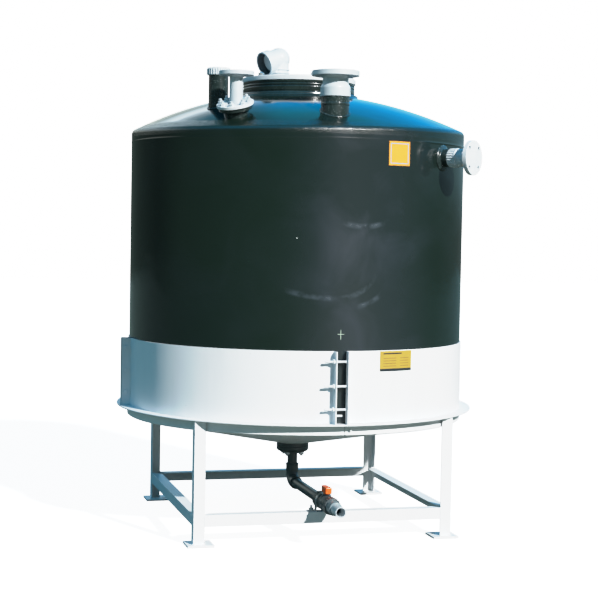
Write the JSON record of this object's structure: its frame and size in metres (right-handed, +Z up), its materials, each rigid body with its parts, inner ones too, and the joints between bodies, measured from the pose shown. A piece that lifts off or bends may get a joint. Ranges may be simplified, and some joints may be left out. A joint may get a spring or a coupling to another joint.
{
  "type": "storage tank",
  "caption": "Upright round plastic storage tank with a domed roof and a cone bottom, on an angle-steel stand with a skirt, with roof nozzles, a vent and a drain valve.",
  "frame": {"origin": "on the tank's axis, at the underside of the base plates", "axes": "+Z up along the tank's axis, -Y to the front, where the drain valve and the roof inlet are"},
  "size_m": [1.706, 1.706, 2.2709],
  "materials": {
    "black_polyethylene": "glossy moulded black",
    "stand_paint": "light grey semi-gloss paint",
    "grey_pvc": "light grey satin",
    "black_pvc": "dark grey satin",
    "orange_abs": "moulded orange",
    "yellow_plate": "printed yellow",
    "zinc_plate": "zinc plated"
  },
  "bodies": {
    "tank": {"tank_shell": "black_polyethylene", "tank_roof": "black_polyethylene", "tank_bottom": "black_polyethylene", "support_cone": "stand_paint", "ring_angle": "stand_paint", "skirt_front_right": "stand_paint", "skirt_back_right": "stand_paint", "skirt_back_left": "stand_paint", "skirt_front_left": "stand_paint", "leg_front_left": "stand_paint", "leg_front_right": "stand_paint", "leg_back_right": "stand_paint", "leg_back_left": "stand_paint", "base_plate_front_left": "stand_paint", "base_plate_front_right": "stand_paint", "base_plate_back_right": "stand_paint", "base_plate_back_left": "stand_paint", "rail_front": "stand_paint", "rail_right": "stand_paint", "rail_back": "stand_paint", "rail_left": "stand_paint", "manhole_neck": "black_polyethylene", "manhole_lid": "grey_pvc", "vent_elbow": "grey_pvc", "inlet_neck": "black_polyethylene", "inlet_union_nut": "grey_pvc", "inlet_flange_pipe": "grey_pvc", "flanged_nozzle_pad": "black_polyethylene", "flanged_nozzle_base": "grey_pvc", "flanged_nozzle_pipe": "grey_pvc", "capped_nozzle_neck": "black_polyethylene", "capped_nozzle_cap": "grey_pvc", "side_nozzle_neck": "black_polyethylene", "side_nozzle_union_nut": "grey_pvc", "side_nozzle_blank_flange": "grey_pvc", "outlet_flange_tank": "black_pvc", "outlet_flange_pipe": "black_pvc", "drop_pipe": "black_pvc", "drain_elbow": "black_pvc", "drain_pipe": "black_pvc", "valve_body": "black_pvc", "drain_nipple": "grey_pvc", "pipe_clamp": "zinc_plate", "name_plate": "yellow_plate", "side_label": "yellow_plate"},
    "handle": {"valve_handle": "orange_abs"}
  },
  "joints": [
    {"name": "valve_turn", "type": "hinge", "parent": "tank", "child": "handle", "pos_m": [0, -0.615, 0.24], "axis": [0, 0, 1], "range_deg": [0, 90]}
  ]
}
